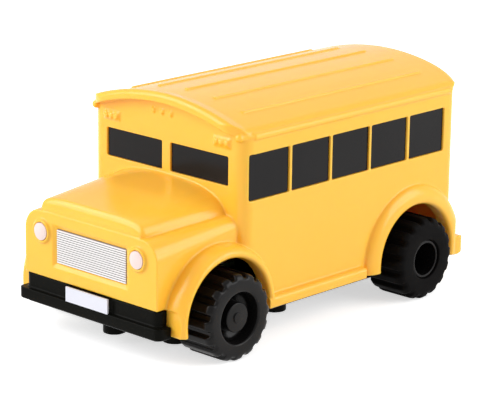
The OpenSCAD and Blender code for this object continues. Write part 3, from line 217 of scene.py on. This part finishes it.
ALONG_X = (12, 1, 1)
ALONG_Z = (1, 1, 12)
finish = {
    "yellow_plastic": moulded(
        "yellow_plastic", (1.0, 0.515, 0.045), (1.0, 0.525, 0.049),
        roughness=0.22, grain_mm=0.8, grain_height_mm=0.001, Specular_IOR_Level=0.35,
        Subsurface_Weight=0.3, Subsurface_Radius=(1.0, 0.4, 0.1), Subsurface_Scale=0.0025),
    "window_black": moulded(
        "window_black", (0.007, 0.006, 0.006), (0.009, 0.008, 0.008),
        roughness=0.14, grain_mm=0.7, grain_height_mm=0.001, Specular_IOR_Level=0.12),
    # The grille's second colour is the painted shade of its grooves
    "grille_silver": slatted(
        "grille_silver", (0.86, 0.84, 0.84), (0.30, 0.28, 0.29), face_y=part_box("grille")[0][1], groove_mm=0.3),
    "lamp_white": moulded(
        "lamp_white", (0.80, 0.64, 0.61), (0.82, 0.67, 0.64),
        roughness=0.18, grain_mm=0.8, grain_height_mm=0.002,
        Subsurface_Weight=0.4, Subsurface_Radius=(1.0, 0.8, 0.7), Subsurface_Scale=0.001),
    "plate_white": moulded(
        "plate_white", (0.68, 0.69, 0.78), (0.70, 0.71, 0.79),
        roughness=0.34, grain_mm=0.5, grain_height_mm=0.004),
    "black_plastic": moulded(
        "black_plastic", (0.004, 0.004, 0.003), (0.005, 0.005, 0.004),
        roughness=0.26, grain_mm=0.45, grain_height_mm=0.002, Specular_IOR_Level=0.03),
    "wheel_black": moulded(
        "wheel_black", (0.004, 0.004, 0.004), (0.006, 0.005, 0.005),
        roughness=0.24, grain_mm=0.45, grain_height_mm=0.003, Specular_IOR_Level=0.14),
    "knob_black": moulded(
        "knob_black", (0.012, 0.011, 0.011), (0.018, 0.016, 0.016),
        roughness=0.45, grain_mm=0.4, grain_height_mm=0.010),
    "tyre_rubber": rubber("tyre_rubber", (0.003, 0.003, 0.003), (0.005, 0.004, 0.004)),
    "screw_steel": metal("screw_steel", (0.62, 0.62, 0.64), roughness=0.32, stretch=ALONG_Z),
    "shaft_steel": metal("shaft_steel", (0.66, 0.66, 0.68), roughness=0.22, stretch=ALONG_X),
    "motor_steel": metal("motor_steel", (0.70, 0.70, 0.71), roughness=0.28, stretch=ALONG_X),
    "switch_steel": metal("switch_steel", (0.68, 0.68, 0.70), roughness=0.34, stretch=ALONG_Z),
    "cell_steel": metal("cell_steel", (0.74, 0.74, 0.75), roughness=0.24, stretch=ALONG_X),
    "contact_brass": metal("contact_brass", (0.80, 0.62, 0.30), roughness=0.28, stretch=ALONG_Z),
    "gear_nylon": moulded(
        "gear_nylon", (0.80, 0.78, 0.70), (0.86, 0.84, 0.77),
        roughness=0.42, grain_mm=0.4, grain_height_mm=0.006, Subsurface_Weight=0.25, Subsurface_Scale=0.0008),
    "board_green": circuit("board_green", (0.008, 0.060, 0.026), (0.016, 0.100, 0.046)),
    "chip_resin": moulded(
        "chip_resin", (0.012, 0.012, 0.012), (0.020, 0.020, 0.020),
        roughness=0.40, grain_mm=0.6, grain_height_mm=0.020),
    "emitter_clear": moulded(
        "emitter_clear", (0.72, 0.76, 0.86), (0.78, 0.81, 0.89),
        roughness=0.10, grain_mm=0.8, grain_height_mm=0.002, Transmission_Weight=0.6, IOR=1.5),
    "receiver_dark": moulded(
        "receiver_dark", (0.020, 0.014, 0.030), (0.028, 0.018, 0.040),
        roughness=0.12, grain_mm=0.8, grain_height_mm=0.002),
}


# Pieces that stand in for CAD nodes

def apply_modifiers(piece):
    """Bakes a new piece's modifiers into its own mesh."""
    baked = bpy.data.meshes.new_from_object(piece.evaluated_get(bpy.context.evaluated_depsgraph_get()))
    piece.modifiers.clear()
    piece.data = baked


def stand_in(piece, node):
    """Shows a new piece in the place of a CAD node, in its finish and on its body."""
    piece.data.materials.clear()
    piece.data.materials.append(finish[slot_of[node]])
    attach(piece, nodes[node]["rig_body"])
    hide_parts(node)


def places(mesh):
    """The mesh's points, one row each."""
    flat = np.empty(len(mesh.vertices) * 3)
    mesh.vertices.foreach_get("co", flat)
    return flat.reshape(-1, 3)


def progress(value, start, end):
    """How far a value is on the way from start to end, from 0 to 1."""
    return np.clip((value - start) / (end - start), 0, 1)


PULL_IN = 0.52
PUSH_OUT = -0.53


def relax(mesh, rounds, low, high):
    """Rounds off edges with Taubin's smoothing, which leaves flat faces flat, and stays inside a box."""
    place = places(mesh)
    count = len(place)
    ends = np.empty(len(mesh.edges) * 2, np.int64)
    mesh.edges.foreach_get("vertices", ends)
    a, b = ends.reshape(-1, 2).T
    degree = np.maximum(np.bincount(np.concatenate((a, b)), minlength=count), 1)
    for pull in (PULL_IN, PUSH_OUT) * rounds:
        mean = np.empty_like(place)
        for axis in range(3):
            column = place[:, axis]
            mean[:, axis] = (np.bincount(a, column[b], count) + np.bincount(b, column[a], count)) / degree
        place += pull * (mean - place)
    mesh.vertices.foreach_set("co", np.clip(place, low, high).ravel())
    mesh.update()


def thin(piece, keep):
    """Keeps a share of the faces, with the normals of the dense mesh, so that the shading stays smooth."""
    dense = piece.data
    normals = np.empty(len(dense.vertices) * 3)
    dense.vertex_normals.foreach_get("vector", normals)
    normals = normals.reshape(-1, 3)
    tree = KDTree(len(dense.vertices))
    for vertex in dense.vertices:
        tree.insert(vertex.co, vertex.index)
    tree.balance()
    piece.modifiers.new("thin", "DECIMATE").ratio = keep
    apply_modifiers(piece)
    piece.data.shade_smooth()
    nearest = [tree.find(vertex.co)[1] for vertex in piece.data.vertices]
    piece.data.normals_split_custom_set_from_vertices(normals[nearest])


def softened(node, voxel_mm, rounds, keep, reshape=None):
    """Stands in for a CAD node with the edges rounded as the mould rounds them.

    The solid is remeshed in small voxels, reshaped and relaxed, then thinned to the given share of its faces.
    """
    piece = bpy.data.objects.new(node + "_moulded", nodes[node].data.copy())
    scene.collection.objects.link(piece)
    voxels = piece.modifiers.new("voxels", "REMESH")
    voxels.mode = "VOXEL"
    voxels.voxel_size = voxel_mm * MM
    apply_modifiers(piece)
    if reshape:
        reshape(piece.data)
    relax(piece.data, rounds, *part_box(node))
    thin(piece, keep)
    stand_in(piece, node)


# Where the shell is drawn out, and how far, in mm
NOSE_Y = -47.1
CROWN_EDGE_Y = -44.1
CROWN_EVEN_Y = -30.0
CREASE_Z = 27.2
CROWN_FULL_Z = 27.8
CROWN_FORWARD = 1.8
ROOF_HALF_X = 23.0
ROOF_CORNER_POWER = 6
ROOF_EVEN_Y = 40.0
ROOF_EDGE_Y = 43.4
ROOF_LIP_Z = 45.2
ROOF_FULL_Z = 46.6
ROOF_BACK = 3.1


def shape_shell(mesh):
    """Draws two edges of the shell out to where the photograph shows them.

    The front edge of the bonnet's crown moves forward, so that its face stands steep. The roof's rear edge moves
    back over the rear wall, less so towards the corners.
    """
    place = places(mesh)
    x, y, z = place.T / MM
    forward = np.interp(y, (NOSE_Y, CROWN_EDGE_Y, CROWN_EVEN_Y), (0, CROWN_FORWARD, 0))
    place[:, 1] -= forward * progress(z, CREASE_Z, CROWN_FULL_Z) * MM
    round_corner = 1 - progress(np.abs(x), 0, ROOF_HALF_X) ** ROOF_CORNER_POWER
    back = ROOF_BACK * round_corner * progress(y, ROOF_EVEN_Y, ROOF_EDGE_Y) * progress(z, ROOF_LIP_Z, ROOF_FULL_Z)
    place[:, 1] += back * MM
    mesh.vertices.foreach_set("co", place.ravel())


FILLET_STEPS = 5


def filleted(corners):
    """Rounds the corners of a closed outline, each given by its radius, its depth and its fillet in mm."""
    corners = np.array(corners)
    place = corners[:, :2]
    reach = corners[:, 2:]
    back = np.roll(place, 1, axis=0) - place
    ahead = np.roll(place, -1, axis=0) - place
    start = place + reach * back / np.linalg.norm(back, axis=1, keepdims=True)
    end = place + reach * ahead / np.linalg.norm(ahead, axis=1, keepdims=True)
    t = np.linspace(0, 1, FILLET_STEPS)[:, None]
    bends = zip(start, place, end)
    return np.concatenate([(1 - t) ** 2 * a + 2 * t * (1 - t) * b + t ** 2 * c for a, b, c in bends])


LUGS = 16
STEPS_PER_LUG = 16
LUG_FOOT = 0.26
LUG_TOP = 0.56


def lug_swell(turn):
    """How far the tread has risen at an angle, from 0 in a valley to 1 on a lug. One lug is at 0."""
    nearness = np.abs(2 * (turn * LUGS / (2 * math.pi) % 1) - 1)
    rise = progress(nearness, LUG_FOOT, LUG_TOP)
    return rise * rise * (3 - 2 * rise)


def closed_grid(rows, columns):
    """Quads between the points of a grid that closes on itself both ways."""
    here = np.arange(rows * columns).reshape(rows, columns)
    onward = np.roll(here, -1, axis=0)
    corners = (here, onward, np.roll(onward, -1, axis=1), np.roll(here, -1, axis=1))
    return np.stack(corners, -1).reshape(-1, 4)


WELD_DISTANCE = 1e-6


def weld(mesh):
    """Joins the points that coincide and turns every face outwards."""
    work = bmesh.new()
    work.from_mesh(mesh)
    bmesh.ops.remove_doubles(work, verts=work.verts, dist=WELD_DISTANCE)
    bmesh.ops.recalc_face_normals(work, faces=work.faces)
    work.to_mesh(mesh)
    work.free()


def lugged(node, valley, lug):
    """Stands in for a wheel or tyre with lugs that reach round its shoulder.

    The outline is turned about the axle and swells from valley to lug, with one lug straight down. Its corners are
    given by radius, depth behind the outer face and fillet, in mm.
    """
    low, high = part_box(node)
    side = 1 if low[0] > 0 else -1
    face_x = max(abs(low[0]), abs(high[0]))
    axle_y = (low[1] + high[1]) / 2
    axle_z = (low[2] + high[2]) / 2
    turn = np.linspace(0, 2 * math.pi, LUGS * STEPS_PER_LUG, endpoint=False)
    swell = lug_swell(turn)[:, None, None]
    outline = MM * ((1 - swell) * filleted(valley) + swell * filleted(lug))
    radius = outline[:, :, 0]
    depth = outline[:, :, 1]
    x = side * (face_x - depth)
    y = axle_y + radius * np.sin(turn)[:, None]
    z = axle_z - radius * np.cos(turn)[:, None]
    mesh = bpy.data.meshes.new(node + "_moulded")
    points = np.stack((x, y, z), -1).reshape(-1, 3)
    mesh.from_pydata(points.tolist(), [], closed_grid(*radius.shape).tolist())
    weld(mesh)
    mesh.shade_smooth()
    piece = bpy.data.objects.new(node + "_moulded", mesh)
    scene.collection.objects.link(piece)
    piece.modifiers.new("flat faces stay flat", "WEIGHTED_NORMAL")
    apply_modifiers(piece)
    stand_in(piece, node)


for name, part in nodes.items():
    part.data.materials.clear()
    part.data.materials.append(finish[slot_of[name]])

softened("body_shell", voxel_mm=0.2, rounds=6, keep=0.15, reshape=shape_shell)
softened("chassis", voxel_mm=0.25, rounds=4, keep=0.2)

# Wheel outlines: radius, depth behind the outer face and fillet of each corner, in mm
WIDTH = 11
TREAD_R = 8.5
LUG_R = 9.4
SEAT_R = 4.5
BORE_R = 1.02
BORE_END = 1.8
front_dish = [
    (0, 0.5, 0),
    (1.2, 0.5, 0.12),
    (1.2, 0.8, 0.1),
    (3.2, 0.8, 0.3),
    (3.2, 4.0, 0.3),
    (5.1, 2.8, 0.6),
    (5.6, 0, 0.45),
]
front_bore = [(BORE_R, WIDTH, 0.1), (BORE_R, BORE_END, 0.1), (0, BORE_END, 0)]
front_valley = [(TREAD_R, 0, 0.7), (TREAD_R, WIDTH, 0.4)]
front_lug = [(LUG_R, 0, 1.6), (LUG_R, WIDTH - 0.4, 0.8)]
rear_seat = [(SEAT_R, WIDTH, 0.2), (SEAT_R, 0, 0.3)]
rear_valley = [(TREAD_R, 0, 1.1), (TREAD_R, WIDTH, 1.1)]
rear_lug = [(LUG_R, 0, 2.0), (LUG_R, WIDTH, 2.0)]

for side in ("left", "right"):
    lugged(side + "_front_wheel", front_dish + front_valley + front_bore, front_dish + front_lug + front_bore)
    lugged(side + "_rear_tyre", rear_seat + rear_valley, rear_seat + rear_lug)
    softened(side + "_rear_hub", voxel_mm=0.14, rounds=4, keep=0.25)


# Studio

LOOKING = ("Is Camera Ray", "Is Glossy Ray", "Is Transmission Ray")


def seen_directly(tree):
    """One where the camera, a reflection or a view through glass looks, and nought for the light on things."""
    path = tree.nodes.new("ShaderNodeLightPath")
    seen = path.outputs[LOOKING[0]]
    for ray in LOOKING[1:]:
        either = tree.nodes.new("ShaderNodeMath")
        either.operation = "MAXIMUM"
        tree.links.new(seen, either.inputs[0])
        tree.links.new(path.outputs[ray], either.inputs[1])
        seen = either.outputs[0]
    return seen


def floor_material(grey, lift):
    """White floor that keeps the shadow. Seen straight or in a reflection it is lifted to paper white."""
    made = bpy.data.materials.new("studio_floor")
    made.use_nodes = True
    tree = made.node_tree
    tree.nodes.clear()
    out = tree.nodes.new("ShaderNodeOutputMaterial")
    diffuse = tree.nodes.new("ShaderNodeBsdfDiffuse")
    diffuse.inputs["Color"].default_value = (grey, grey, grey, 1)
    glow = tree.nodes.new("ShaderNodeEmission")
    add = tree.nodes.new("ShaderNodeAddShader")
    strength = tree.nodes.new("ShaderNodeMath")
    strength.operation = "MULTIPLY"
    strength.inputs[1].default_value = lift
    tree.links.new(seen_directly(tree), strength.inputs[0])
    tree.links.new(strength.outputs[0], glow.inputs["Strength"])
    tree.links.new(diffuse.outputs[0], add.inputs[0])
    tree.links.new(glow.outputs[0], add.inputs[1])
    tree.links.new(add.outputs[0], out.inputs["Surface"])
    return made


def add_floor(half_size, grey, lift):
    mesh = bpy.data.meshes.new("studio_floor")
    h = half_size
    mesh.from_pydata([(-h, -h, 0), (h, -h, 0), (h, h, 0), (-h, h, 0)], [], [(0, 1, 2, 3)])
    floor = bpy.data.objects.new("studio_floor", mesh)
    scene.collection.objects.link(floor)
    mesh.materials.append(floor_material(grey, lift))


def direction(azimuth, elevation):
    """Unit vector: azimuth in degrees from -Y towards +X, elevation above the floor."""
    a = math.radians(azimuth)
    e = math.radians(elevation)
    return Vector((math.sin(a) * math.cos(e), -math.cos(a) * math.cos(e), math.sin(e)))


def add_softbox(name, azimuth, elevation, distance, size, power):
    """A square area lamp that faces the middle of the bus."""
    lamp = bpy.data.lights.new(name, "AREA")
    lamp.size = size
    lamp.energy = power
    made = bpy.data.objects.new(name, lamp)
    scene.collection.objects.link(made)
    towards = direction(azimuth, elevation)
    made.location = (Vector(cad_box[0]) + Vector(cad_box[1])) / 2 + distance * towards
    made.rotation_mode = "QUATERNION"
    made.rotation_quaternion = (-towards).to_track_quat("-Z", "Y")


def add_world(light, white):
    """An even pale sky, which is plain white where the camera or a reflection sees it."""
    world = bpy.data.worlds.new("studio")
    scene.world = world
    world.use_nodes = True
    tree = world.node_tree
    mix = tree.nodes.new("ShaderNodeMix")
    mix.inputs["A"].default_value = light
    mix.inputs["B"].default_value = white
    tree.links.new(seen_directly(tree), mix.inputs["Factor"])
    tree.links.new(mix.outputs["Result"], tree.nodes["Background"].inputs["Strength"])
    tree.nodes["Background"].inputs["Color"].default_value = (1, 1, 1, 1)


SENSOR_MM = 36


def add_camera(place, azimuth, elevation, roll, focal_px, width_px):
    """The photograph's camera: azimuth from -Y towards +X, elevation above the floor, roll about the view."""
    back = direction(azimuth, elevation)
    level = direction(azimuth + 90, 0)
    rise = back.cross(level)
    r = math.radians(roll)
    right = math.cos(r) * level + math.sin(r) * rise
    up = math.cos(r) * rise - math.sin(r) * level
    data = bpy.data.cameras.new("photo_camera")
    data.sensor_fit = "HORIZONTAL"
    data.sensor_width = SENSOR_MM
    data.lens = SENSOR_MM * focal_px / width_px
    data.clip_start = 0.01
    data.clip_end = 20
    camera = bpy.data.objects.new("photo_camera", data)
    scene.collection.objects.link(camera)
    camera.matrix_world = Matrix.Translation(place) @ Matrix((right, up, back)).transposed().to_4x4()
    scene.camera = camera


add_floor(half_size=4.0, grey=0.86, lift=0.6)
add_softbox("front", azimuth=-35, elevation=30, distance=0.9, size=0.7, power=7.4)
add_softbox("left", azimuth=122, elevation=25, distance=0.9, size=0.7, power=5.9)
add_world(light=0.46, white=1.0)
add_camera(place=(0.34869, -0.36945, 0.16372), azimuth=43.3786, elevation=15.5621, roll=0.7755,
           focal_px=2377.46, width_px=488)
scene.view_settings.view_transform = "Standard"
